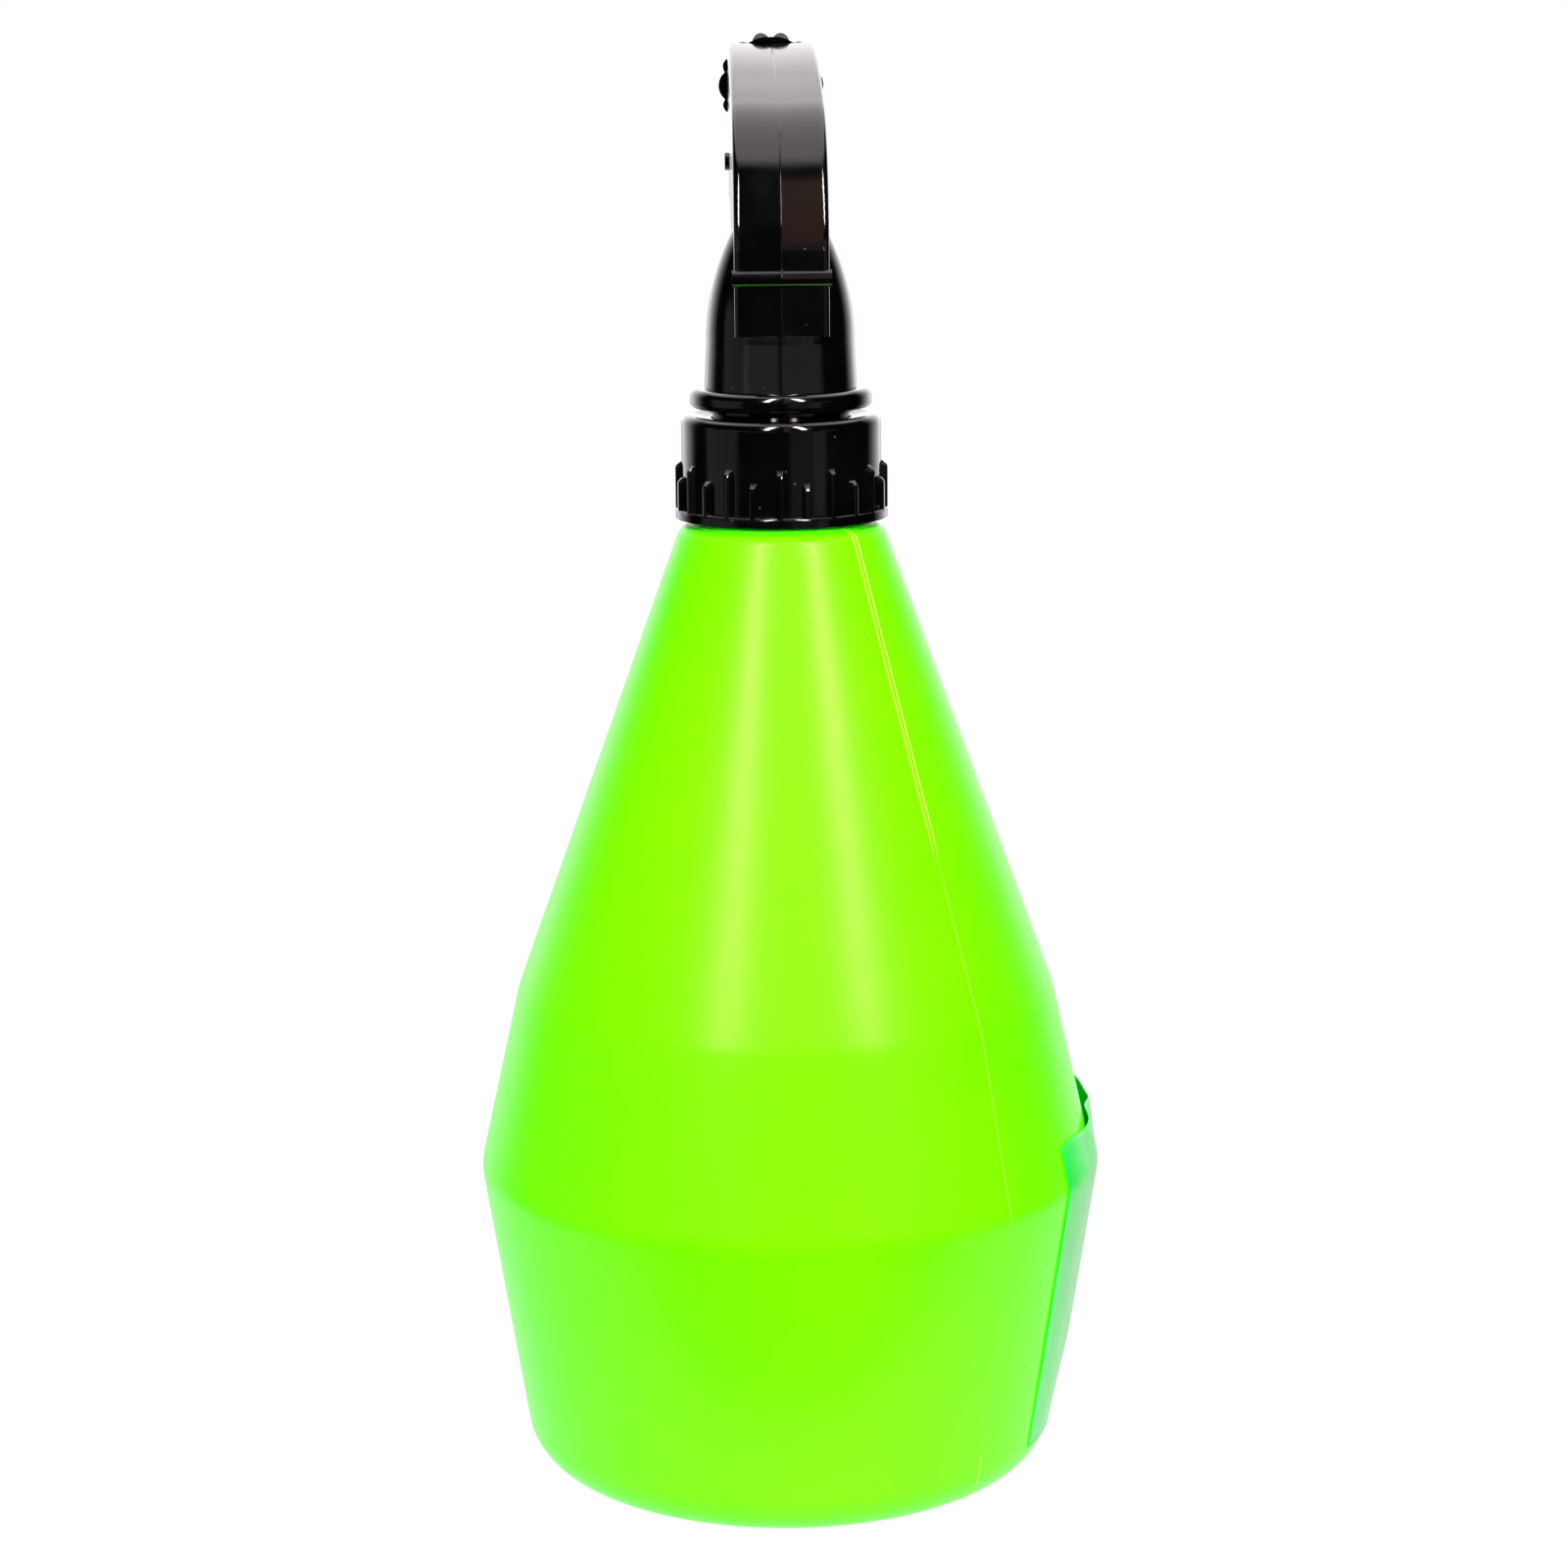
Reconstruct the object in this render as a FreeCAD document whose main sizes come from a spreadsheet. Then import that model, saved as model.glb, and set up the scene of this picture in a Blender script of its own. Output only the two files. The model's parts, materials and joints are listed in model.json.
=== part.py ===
import FreeCAD, Part
import math
import os
import re
import Sketcher
from FreeCAD import Placement, Rotation, Vector

# A hand trigger sprayer on a round plastic bottle, in millimetres.
# +Z is up, and the origin is the centre of the bottle's base.
# The nozzle points along +Y and the back of the sprayer faces -Y.

SIZES = {
    # bottle, outside: cone points as radius and height
    "wall": 1.3,
    "push_up": 3.0,
    "push_up_radius": 24.0,
    "foot_radius": 30.0,
    "base_radius": 43.6,
    "base_round": 8.7,
    "ridge_radius": 51.8,
    "ridge_height": 52.0,
    "ridge_round": 9.0,
    "kink_radius": 45.0,
    "kink_height": 82.0,
    "kink_round": 16.0,
    "shoulder_radius": 16.77,
    "shoulder_height": 159.5,
    "shoulder_round": 2.5,
    "collar_radius": 15.2,
    "collar_top": 160.9,
    "neck_radius": 12.5,
    "neck_bore": 10.6,
    "neck_top": 172.7,
    # screw thread between the neck and the cap
    "thread_pitch": 4.23,
    "thread_start": 163.4,
    "thread_depth": 1.2,
    "thread_root": 2.0,
    "thread_crest": 1.0,
    # label
    "label_gap": 0.1,
    "label_thick": 0.3,
    "label_bottom": 8.0,
    "label_top": 59.5,
    "label_span": 142.0,
    "label_start": 61.5,
    # screw cap
    "cap_bottom": 161.2,
    "cap_rim_radius": 17.5,
    "cap_rim_thick": 1.6,
    "cap_radius": 16.4,
    "cap_inside": 14.25,
    "cap_web_bottom": 176.3,
    "cap_top": 178.0,
    "cap_crest_radius": 14.6,
    "cap_round": 1.5,
    "cap_hole": 11.5,
    "rib_count": 12.0,
    "rib_radius": 17.3,
    "rib_width": 0.6,
    "rib_turn": -2.4,
    "long_rib": 7.3,
    "short_rib": 5.2,
    # gasket and retainer inside the cap
    "gasket_thick": 1.5,
    "gasket_bore": 10.4,
    "flange_radius": 12.6,
    "flange_thick": 2.0,
    "spigot_radius": 8.6,
    "spigot_top": 184.0,
    "tube_radius": 3.1,
    "tube_bore": 2.3,
    "stem_radius": 4.9,
    "stem_bottom": 164.0,
    "tube_bottom": 9.0,
    "strainer_radius": 4.2,
    "strainer_bottom": 5.6,
    "strainer_top": 20.0,
    "ball_radius": 2.4,
    "ball_chamber": 2.9,
    "ball_height": 179.65,
    # sprayer body: round tower and ring
    "ring_radius": 14.9,
    "ring_bottom": 179.15,
    "ring_thick": 3.1,
    "throat_radius": 11.9,
    "throat_inner": 11.2,
    "tower_base": 12.5,
    "tower_radius": 12.1,
    "tower_bend": 190.0,
    "tower_arc": 37.8,
    "tower_top": 211.0,
    "plenum_top": 184.6,
    # sprayer body: flat-sided spine that runs up the back and forward to the nozzle
    "spine_width": 15.2,
    "spine_back": 13.0,
    "spine_bottom": 192.6,
    "spine_bend": 205.0,
    "crown_y": 3.6,
    "crown_z": 227.8,
    "crown_arc": 24.0,
    "nose_y": 45.0,
    "nose_z": 237.3,
    "nose_arc": 199.0,
    "draft": 2.0,
    "bead_height": 200.6,
    "bead_proud": 0.5,
    "bead_thick": 2.7,
    "bead_width": 15.9,
    # pump cylinder and its piston
    "pump_height": 197.2,
    "pump_bore": 6.5,
    "pump_barrel": 8.3,
    "pump_end": 7.0,
    "pump_mouth": 20.5,
    "piston_radius": 6.1,
    "seal_radius": 6.45,
    "rod_radius": 3.4,
    # trigger and its pins
    "pivot_y": 38.0,
    "pivot_z": 217.6,
    "pin_radius": 1.5,
    "pin_half": 8.3,
    "pin_play": 0.05,
    "slot_width": 11.0,
    "eye_width": 10.4,
    "eye_radius": 4.4,
    "grip_width": 15.6,
    "grip_y": 42.0,
    "link_y": 40.0,
    "link_radius": 1.2,
    "link_wall": 0.7,
    # nozzle, along its own tilted axis
    "nozzle_y": 45.6,
    "nozzle_z": 230.1,
    "nozzle_tilt": 5.8,
    "nozzle_barrel": 5.2,
    "barrel_length": 11.0,
    "chamber_radius": 3.2,
    "outlet_bore": 1.6,
    "knob_near": 1.3,
    "knob_far": 17.4,
    "knob_valley": 8.33,
    "knob_outer": 9.1,
    "lobe_count": 14.0,
    "knob_bore": 5.3,
    "orifice": 0.45,
}

DOC = FreeCAD.newDocument("trigger_spray_bottle")
SHEET = DOC.addObject("Spreadsheet::Sheet", "Sizes")
NAME = re.compile(r"\b[a-z][a-z_]*[a-z]\b")


def fill_sheet():
    for row, (name, value) in enumerate(SIZES.items(), start=1):
        SHEET.set(f"A{row}", name)
        SHEET.set(f"B{row}", str(value))
        SHEET.setAlias(f"B{row}", name)
    DOC.recompute()


def formula(text):
    """The expression with each size's name pointed at the sheet."""
    return NAME.sub(lambda m: f"Sizes.{m.group()}" if m.group() in SIZES else m.group(), str(text))


def size(text):
    return float(SHEET.evalExpression(formula(text)))


def bind(thing, prop, text):
    thing.setExpression(prop, formula(text))


def new_body(label):
    body = DOC.addObject("PartDesign::Body", label)
    body.Label = label
    return body


def origin_part(body, role):
    return next(f for f in body.Origin.OriginFeatures if f.Role == role)


def new_sketch(body, name, role):
    sketch = body.newObject("Sketcher::SketchObject", f"{body.Label}_{name}")
    sketch.AttachmentSupport = [(origin_part(body, role), "")]
    sketch.MapMode = "FlatFace"
    return sketch


def pin_point(sketch, edge, end, x, y):
    """Hold one end of an edge at x, y, both given as formulas."""
    for kind, text in (("DistanceX", x), ("DistanceY", y)):
        row = sketch.addConstraint(Sketcher.Constraint(kind, -1, 1, edge, end, size(text)))
        bind(sketch, f"Constraints[{row}]", text)


def arc_edge(start, end, radius):
    """The shorter arc between two points: a positive radius turns left on the way."""
    chord = end - start
    left = Vector(-chord.y, chord.x, 0).normalize()
    rise = math.sqrt(radius**2 - (chord.Length / 2) ** 2)
    side = 1 if radius > 0 else -1
    centre = (start + end) / 2 + left * rise * side
    angles = [math.atan2(p.y - centre.y, p.x - centre.x) for p in (start, end)]
    if side < 0:
        angles.reverse()
    return Part.ArcOfCircle(Part.Circle(centre, Vector(0, 0, 1), abs(radius)), *angles)


def draw_loop(sketch, points):
    """Closed outline through points (x, y) or (x, y, arc radius to the next point)."""
    places = [Vector(size(p[0]), size(p[1]), 0) for p in points]
    ends = []
    for number, point in enumerate(points):
        start, end = places[number], places[(number + 1) % len(points)]
        if len(point) == 2:
            edge = sketch.addGeometry(Part.LineSegment(start, end))
            ends.append((edge, 1, 2))
            continue
        radius = size(point[2])
        edge = sketch.addGeometry(arc_edge(start, end, radius))
        ends.append((edge, 1, 2) if radius > 0 else (edge, 2, 1))
    for number, (edge, _, last) in enumerate(ends):
        after, first, _ = ends[(number + 1) % len(ends)]
        sketch.addConstraint(Sketcher.Constraint("Coincident", edge, last, after, first))
    for (edge, first, _), point in zip(ends, points):
        pin_point(sketch, edge, first, point[0], point[1])
        if len(point) == 3:
            row = sketch.addConstraint(Sketcher.Constraint("Radius", edge, abs(size(point[2]))))
            bind(sketch, f"Constraints[{row}]", f"abs({point[2]})")
    return sketch


def draw_circle(sketch, x, y, radius):
    place = Vector(size(x), size(y), 0)
    edge = sketch.addGeometry(Part.Circle(place, Vector(0, 0, 1), size(radius)))
    pin_point(sketch, edge, 3, x, y)
    row = sketch.addConstraint(Sketcher.Constraint("Radius", edge, size(radius)))
    bind(sketch, f"Constraints[{row}]", radius)
    return sketch


def draw_axis(sketch, start, end):
    """A construction line, which a turned feature uses as its own axis."""
    points = [Vector(size(x), size(y), 0) for x, y in (start, end)]
    edge = sketch.addGeometry(Part.LineSegment(*points), True)
    pin_point(sketch, edge, 1, *start)
    pin_point(sketch, edge, 2, *end)


def turned(body, name, points, kind="Revolution", role="XZ_Plane", angle="360", axis=None):
    """A solid or a cut turned about Z, or about an axis drawn in its own sketch."""
    sketch = draw_loop(new_sketch(body, f"{name}_outline", role), points)
    if axis:
        draw_axis(sketch, *axis)
    DOC.recompute()
    feature = body.newObject(f"PartDesign::{kind}", f"{body.Label}_{name}")
    feature.Profile = sketch
    feature.ReferenceAxis = (sketch, ["Axis0"]) if axis else (origin_part(body, "Z_Axis"), [""])
    bind(feature, "Angle", angle)
    DOC.recompute()
    return feature


def swept(body, name, draw, length, kind="Pad", role="YZ_Plane", start=None, draft=None, back=False):
    """A sketch carried along its plane's normal: evenly both ways, or one way from a start."""
    sketch = new_sketch(body, f"{name}_outline", role)
    draw(sketch)
    if start is not None:
        bind(sketch, "AttachmentOffset.Base.z", start)
    DOC.recompute()
    feature = body.newObject(f"PartDesign::{kind}", f"{body.Label}_{name}")
    feature.Profile = sketch
    feature.Midplane = start is None
    feature.Reversed = back
    bind(feature, "Length", length)
    if draft:
        bind(feature, "TaperAngle", draft)
    DOC.recompute()
    return feature


def rounded(body, name, radius, wanted):
    """A fillet on the edges of the body's tip that the test picks."""
    base = body.Tip
    edges = [f"Edge{n}" for n, e in enumerate(base.Shape.Edges, start=1) if wanted(e)]
    feature = body.newObject("PartDesign::Fillet", f"{body.Label}_{name}")
    feature.Base = (base, edges)
    bind(feature, "Radius", radius)
    DOC.recompute()
    return feature


def ring_edge(radius, height):
    """Picks the circle about Z with this radius at this height."""
    wide, high = size(radius), size(height)

    def wanted(edge):
        box = edge.BoundBox
        level = abs(box.ZMin - high) < 0.02 and abs(box.ZMax - high) < 0.02
        return level and abs(box.XMax - wide) < 0.05 and abs(box.XMin + wide) < 0.05

    return wanted


def patterned(body, name, features, count):
    """Copies of the features round Z; the pattern becomes the body's tip."""
    feature = body.newObject("PartDesign::PolarPattern", f"{body.Label}_{name}")
    feature.Originals = features
    feature.Axis = (origin_part(body, "Z_Axis"), [""])
    feature.Angle = 360
    bind(feature, "Occurrences", count)
    body.Tip = feature
    DOC.recompute()
    return feature


def nozzle_place(along):
    """From a piece drawn along Z to its place on the tilted nozzle axis."""
    tilt = math.radians(size("nozzle_tilt"))
    forward = Vector(0, math.cos(tilt), math.sin(tilt))
    start = Vector(0, size("nozzle_y"), size("nozzle_z"))
    return Placement(start + forward * along, Rotation(Vector(1, 0, 0), size("nozzle_tilt") - 90))


def pump_place():
    """From a piece drawn along Z to the pump's axis, with Z pointing forward."""
    return Placement(Vector(0, 0, size("pump_height")), Rotation(Vector(1, 0, 0), -90))


def box_points(low_x, low_y, high_x, high_y):
    return [(low_x, low_y), (high_x, low_y), (high_x, high_y), (low_x, high_y)]


def thread(body, name, start, turns, root, crest):
    """A helical ridge whose base lies at radius root and whose crest lies at radius crest."""
    half_root, half_crest = "thread_root / 2", "thread_crest / 2"
    ridge = [
        (root, f"{start} - {half_root}"),
        (crest, f"{start} - {half_crest}"),
        (crest, f"{start} + {half_crest}"),
        (root, f"{start} + {half_root}"),
    ]
    sketch = draw_loop(new_sketch(body, f"{name}_outline", "XZ_Plane"), ridge)
    DOC.recompute()
    feature = body.newObject("PartDesign::AdditiveHelix", f"{body.Label}_{name}")
    feature.Profile = sketch
    feature.ReferenceAxis = (origin_part(body, "Z_Axis"), [""])
    feature.Mode = "pitch-turns-angle"
    bind(feature, "Pitch", "thread_pitch")
    feature.Turns = turns
    feature.LeftHanded = False
    DOC.recompute()
    return feature


# ---- bottle ----------------------------------------------------------------


def make_bottle():
    body = new_body("bottle")
    outside = [
        ("0", "push_up"),
        ("push_up_radius", "push_up"),
        ("foot_radius", "0"),
        ("base_radius", "0"),
        ("ridge_radius", "ridge_height"),
        ("kink_radius", "kink_height"),
        ("shoulder_radius", "shoulder_height"),
        ("collar_radius", "shoulder_height + 0.4"),
        ("collar_radius", "collar_top"),
        ("neck_radius", "collar_top"),
        ("neck_radius", "neck_top"),
    ]
    inside = [
        ("neck_bore", "neck_top"),
        ("neck_bore", "collar_top + 0.6"),
        ("shoulder_radius - wall", "shoulder_height - 1.5"),
        ("kink_radius - wall", "kink_height - 0.3"),
        ("ridge_radius - wall", "ridge_height"),
        ("base_radius - wall + 0.2", "wall"),
        ("foot_radius", "wall"),
        ("push_up_radius", "push_up + wall"),
        ("0", "push_up + wall"),
    ]
    turned(body, "shell", outside + inside)
    rounded(body, "base_inside", "base_round - wall", ring_edge("base_radius - wall + 0.2", "wall"))
    rounded(body, "base_outside", "base_round", ring_edge("base_radius", "0"))
    rounded(body, "ridge", "ridge_round", ring_edge("ridge_radius", "ridge_height"))
    rounded(body, "kink", "kink_round", ring_edge("kink_radius", "kink_height"))
    rounded(body, "shoulder", "shoulder_round", ring_edge("shoulder_radius", "shoulder_height"))
    thread(body, "thread", "thread_start", 1.5, "neck_radius - 0.3", "neck_radius + thread_depth")
    return body


def make_label():
    """A film that wraps one side of the bottle, from above its base to just over the ridge."""
    body = new_body("label")
    near, far = "label_gap", "label_gap + label_thick"
    side_lean = "(ridge_radius - base_radius) / ridge_height"
    upper_lean = "(ridge_radius - kink_radius) / (kink_height - ridge_height)"
    foot = f"base_radius + {side_lean} * label_bottom"
    top = f"ridge_radius - {upper_lean} * (label_top - ridge_height)"
    outline = [
        (f"{foot} + {near}", "label_bottom"),
        (f"{foot} + {far}", "label_bottom"),
        (f"ridge_radius + {far}", "ridge_height"),
        (f"{top} + {far}", "label_top"),
        (f"{top} + {near}", "label_top"),
        (f"ridge_radius + {near}", "ridge_height"),
    ]
    turned(body, "film", outline, angle="label_span")
    body.Placement = Placement(Vector(), Rotation(Vector(0, 0, 1), size("label_start") - 90))
    return body


# ---- screw cap and what it clamps ------------------------------------------


def make_closure_cap():
    body = new_body("closure_cap")
    rim_top = "cap_bottom + cap_rim_thick"
    shell = [
        ("cap_rim_radius", "cap_bottom"),
        ("cap_rim_radius", rim_top),
        ("cap_radius", rim_top),
        ("cap_radius", "cap_top"),
        ("cap_crest_radius", "cap_top"),
        ("cap_hole + 0.8", "cap_top - 0.6"),
        ("cap_hole", "cap_top - 0.6"),
        ("cap_hole", "cap_web_bottom"),
        ("cap_inside", "cap_web_bottom"),
        ("cap_inside", "cap_bottom"),
    ]
    turned(body, "shell", shell)
    rounded(body, "shoulder", "cap_round", ring_edge("cap_radius", "cap_top"))
    rounded(body, "rim", "cap_rim_thick * 0.3", ring_edge("cap_rim_radius", rim_top))

    for name, height, turn in (("long", "long_rib", 0), ("short", "short_rib", 15)):
        top = f"{rim_top} + {height}"
        side_view = [
            ("-cap_radius + 0.5", f"{rim_top} - 0.3"),
            ("-rib_radius", f"{rim_top} - 0.3"),
            ("-rib_radius", f"{top} - 0.9", "-1"),
            ("-rib_radius + 0.8", top),
            ("-cap_radius + 0.5", top),
        ]
        rib = grip_rib(body, name, side_view, size("rib_turn") + turn)
        patterned(body, f"{name}_ribs", [rib], "rib_count")
    thread(body, "thread", "thread_start + thread_pitch / 2", 1.25, "cap_inside + 0.3", "cap_inside - 1.4")
    return body


def grip_rib(body, name, side_view, turn):
    """One rib of the cap, drawn from the side in a plane turned about Z."""
    sketch = new_sketch(body, f"{name}_rib_outline", "YZ_Plane")
    sketch.AttachmentOffset = Placement(Vector(), Rotation(Vector(0, 1, 0), turn))
    draw_loop(sketch, side_view)
    DOC.recompute()
    feature = body.newObject("PartDesign::Pad", f"{body.Label}_{name}_rib")
    feature.Profile = sketch
    feature.Midplane = True
    bind(feature, "Length", "rib_width")
    DOC.recompute()
    return feature


def make_neck_gasket():
    body = new_body("neck_gasket")
    ring = box_points("gasket_bore", "neck_top", "flange_radius", "neck_top + gasket_thick")
    turned(body, "ring", ring)
    return body


def make_tube_retainer():
    """Holds the dip tube below and the inlet ball above, and clamps the gasket."""
    body = new_body("tube_retainer")
    flange = "neck_top + gasket_thick"
    seat = "ball_height - ball_radius * 0.72"
    outline = [
        ("tube_radius", "stem_bottom"),
        ("stem_radius - 0.6", "stem_bottom"),
        ("stem_radius", "stem_bottom + 1.2"),
        ("stem_radius", f"{flange} - 1.4"),
        ("gasket_bore - 0.5", f"{flange} - 1.4"),
        ("gasket_bore - 0.2", flange),
        ("flange_radius", flange),
        ("flange_radius", f"{flange} + flange_thick"),
        ("spigot_radius", f"{flange} + flange_thick"),
        ("spigot_radius", "spigot_top - 0.5"),
        ("spigot_radius - 0.5", "spigot_top"),
        ("ball_chamber", "spigot_top"),
        ("ball_chamber", f"{seat} + 0.9"),
        ("ball_radius * 0.69", seat),
        ("ball_radius * 0.69", f"{flange} + 1"),
        ("tube_radius", f"{flange} + 1"),
    ]
    turned(body, "outline", outline)

    def vent(sketch):
        draw_circle(sketch, "0", "gasket_bore - 0.9", "0.6")

    swept(body, "vent", vent, "spigot_top", kind="Pocket", role="XY_Plane", start="0", back=True)
    return body


def make_dip_tube():
    body = new_body("dip_tube")
    top = "neck_top + gasket_thick + 1"
    turned(body, "wall", box_points("tube_bore", "tube_bottom", "tube_radius", top))
    return body


def make_tube_filter():
    """A slotted strainer cup pushed over the lower end of the dip tube."""
    body = new_body("tube_filter")
    outline = [
        ("0", "strainer_bottom"),
        ("strainer_radius - 1", "strainer_bottom"),
        ("strainer_radius", "strainer_bottom + 1"),
        ("strainer_radius", "strainer_top"),
        ("tube_radius", "strainer_top"),
        ("tube_radius", "tube_bottom"),
        ("tube_radius - 0.6", "tube_bottom"),
        ("tube_radius - 0.6", "strainer_bottom + 0.8"),
        ("0", "strainer_bottom + 0.8"),
    ]
    turned(body, "cup", outline)

    def slot(sketch):
        low, high = "strainer_bottom + 1.4", "tube_bottom - 0.4"
        draw_loop(sketch, box_points("-0.4", low, "0.4", high))

    cut = swept(body, "slot", slot, "strainer_radius + 1", kind="Pocket", role="XZ_Plane", start="0")
    patterned(body, "slots", [cut], "rib_count / 2")
    return body


def make_inlet_ball():
    ball = DOC.addObject("Part::Sphere", "inlet_ball")
    ball.Label = "inlet_ball"
    bind(ball, "Radius", "ball_radius")
    ball.Placement = Placement(Vector(0, 0, size("ball_height")), Rotation())
    return ball


# ---- sprayer body ----------------------------------------------------------


def make_head_body():
    """One moulding: captive ring, round tower, spine, pump cylinder and nozzle barrel."""
    body = new_body("head_body")
    ring_top = "ring_bottom + ring_thick"
    tower = [
        ("0", "neck_top + gasket_thick + flange_thick"),
        ("throat_inner", "neck_top + gasket_thick + flange_thick"),
        ("throat_inner", "cap_top + 0.2"),
        ("throat_radius", "cap_top + 0.5"),
        ("throat_radius", "ring_bottom"),
        ("ring_radius", "ring_bottom"),
        ("ring_radius", ring_top),
        ("tower_base", ring_top),
        ("tower_radius", "tower_bend", "tower_arc"),
        ("tower_radius - tower_arc + sqrt(tower_arc^2 - (tower_top - tower_bend)^2)", "tower_top"),
        ("0", "tower_top"),
    ]
    turned(body, "tower", tower)
    rounded(body, "ring_edge", "ring_thick * 0.42", ring_edge("ring_radius", ring_top))
    rounded(body, "ring_under", "ring_thick * 0.3", ring_edge("ring_radius", "ring_bottom"))

    def spine(sketch):
        outline = [
            ("-spine_back + 4", "spine_bottom - 1"),
            ("-spine_back", "spine_bottom - 1"),
            ("-spine_back", "spine_bend", "-crown_arc"),
            ("crown_y", "crown_z", "-nose_arc"),
            ("nose_y", "nose_z"),
            ("nose_y + 1.6", "nozzle_z - 8"),
            ("pivot_y + 4.6", "pivot_z - 5.6"),
            ("pivot_y - 8", "pivot_z - 5.6"),
            ("pump_mouth + 1", "pump_height + 11"),
            ("pump_mouth - 3", "pump_height + 4"),
            ("0", "pump_height - 2"),
        ]
        draw_loop(sketch, outline)

    swept(body, "spine", spine, "spine_width", draft="draft")
    long_edges = spine_edges(body)
    rounded(body, "spine_edges", "0.9", long_edges)

    def barrel(sketch):
        draw_circle(sketch, "0", "pump_height", "pump_barrel")

    swept(body, "barrel", barrel, "pump_mouth", role="XZ_Plane", start="0", back=True)

    def bead(sketch):
        half = "bead_thick / 2"
        outline = [
            ("-spine_back + 2", f"bead_height - {half}"),
            ("-spine_back - bead_proud * 0.4", f"bead_height - {half}", "-1.45"),
            ("-spine_back - bead_proud * 0.4", f"bead_height + {half}"),
            ("-spine_back + 2", f"bead_height + {half}"),
        ]
        draw_loop(sketch, outline)

    swept(body, "bead", bead, "bead_width")
    add_nozzle_barrel(body)
    cut_passages(body)
    cut_trigger_slot(body)
    return body


def spine_edges(body):
    """Picks the two long edges of the spine's outer faces, from its foot to its nose."""
    half = size("spine_width") / 2

    def wanted(edge):
        box = edge.BoundBox
        beside = min(abs(box.XMin - half), abs(box.XMax + half)) < 0.05 and box.XLength < 0.05
        above = box.ZMin > size("nozzle_z") - 9 or box.YMax < size("crown_y") + 0.1
        return beside and above and box.ZMax > size("spine_bend") - 0.1 and edge.Length > 8

    return wanted


def along_nozzle(distance, across="0"):
    """A point in the YZ plane at a distance along the nozzle axis and across it, upward."""
    y = f"nozzle_y + ({distance}) * cos(nozzle_tilt) - ({across}) * sin(nozzle_tilt)"
    z = f"nozzle_z + ({distance}) * sin(nozzle_tilt) + ({across}) * cos(nozzle_tilt)"
    return (y, z)


def nozzle_turned(body, name, outline, kind):
    """A turned solid or cut whose outline is given as distance along the nozzle and radius."""
    points = [along_nozzle(*p) for p in outline]
    axis = (along_nozzle("-30"), along_nozzle("30"))
    turned(body, name, points, kind=kind, role="YZ_Plane", axis=axis)


def add_nozzle_barrel(body):
    outline = [
        ("-4", "0"),
        ("-4", "nozzle_barrel"),
        ("3", "nozzle_barrel"),
        ("3", "nozzle_barrel - 1.2"),
        ("4.4", "nozzle_barrel - 1.2"),
        ("4.4", "nozzle_barrel"),
        ("6.6", "nozzle_barrel"),
        ("7.2", "nozzle_barrel + 0.4"),
        ("7.8", "nozzle_barrel + 0.4"),
        ("8.6", "nozzle_barrel"),
        ("barrel_length", "nozzle_barrel"),
        ("barrel_length", "0"),
    ]
    nozzle_turned(body, "nozzle_barrel", outline, "Revolution")


def cut_passages(body):
    """The spigot socket, pump bore, vent, and the way from the pump to the nozzle."""
    foot = "neck_top + gasket_thick + flange_thick"
    turned(body, "socket", box_points("0", f"{foot} - 1", "spigot_radius", "plenum_top"), kind="Groove")

    def bore(sketch):
        draw_circle(sketch, "0", "pump_height", "pump_bore")

    depth = "pump_mouth + pump_end"
    swept(body, "bore", bore, depth, kind="Pocket", role="XZ_Plane", start="-pump_mouth", back=True)

    def inlet(sketch):
        draw_circle(sketch, "0", "-pump_end + 2", "outlet_bore")

    depth = "pump_height - plenum_top"
    swept(body, "inlet", inlet, depth, kind="Pocket", role="XY_Plane", start="plenum_top - 1", back=True)

    def vent(sketch):
        draw_circle(sketch, "0", "gasket_bore - 0.9", "0.6")

    depth = f"pump_height - ({foot}) - 2"
    swept(body, "vent", vent, depth, kind="Pocket", role="XY_Plane", start=f"{foot} - 1", back=True)
    nozzle_turned(body, "outlet", [("-34", "0"), ("-34", "outlet_bore"), ("3", "outlet_bore"), ("3", "0")],
                  "Groove")
    nozzle_turned(body, "chamber", [("2", "0"), ("2", "chamber_radius"), ("14", "chamber_radius"),
                                    ("14", "0")], "Groove")
    cut_riser(body)


def cut_riser(body):
    """The slanted passage from the pump's inner end up to the outlet passage."""
    low_y, low_z = "(2 - pump_end)", "(pump_height + 3)"
    high_y, high_z = "(nozzle_y - 33)", "(nozzle_z - 3.2)"
    length = f"sqrt(({high_y} - {low_y})^2 + ({high_z} - {low_z})^2)"
    side_y = f"outlet_bore * ({high_z} - {low_z}) / {length}"
    side_z = f"outlet_bore * ({high_y} - {low_y}) / {length}"
    outline = [
        (low_y, low_z),
        (f"{low_y} + {side_y}", f"{low_z} - {side_z}"),
        (f"{high_y} + {side_y}", f"{high_z} - {side_z}"),
        (high_y, high_z),
    ]
    axis = ((low_y, low_z), (high_y, high_z))
    turned(body, "riser", outline, kind="Groove", role="YZ_Plane", axis=axis)


def cut_trigger_slot(body):
    """The slot between the cheeks, open below and in front, and the pivot holes."""

    def slot(sketch):
        outline = [
            ("pump_mouth + 2", "pump_height + 6"),
            ("nose_y + 6", "pump_height + 6"),
            ("nose_y + 6", "nozzle_z - 6.6"),
            ("nose_y - 1.2", "nozzle_z - 6.6"),
            ("pivot_y", "pivot_z + 5.2"),
            ("pump_mouth + 6", "pivot_z + 2"),
        ]
        draw_loop(sketch, outline)

    swept(body, "slot", slot, "slot_width", kind="Pocket")

    def pivot(sketch):
        draw_circle(sketch, "pivot_y", "pivot_z", "pin_radius")

    swept(body, "pivot_holes", pivot, "pin_half * 3", kind="Pocket")


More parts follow.
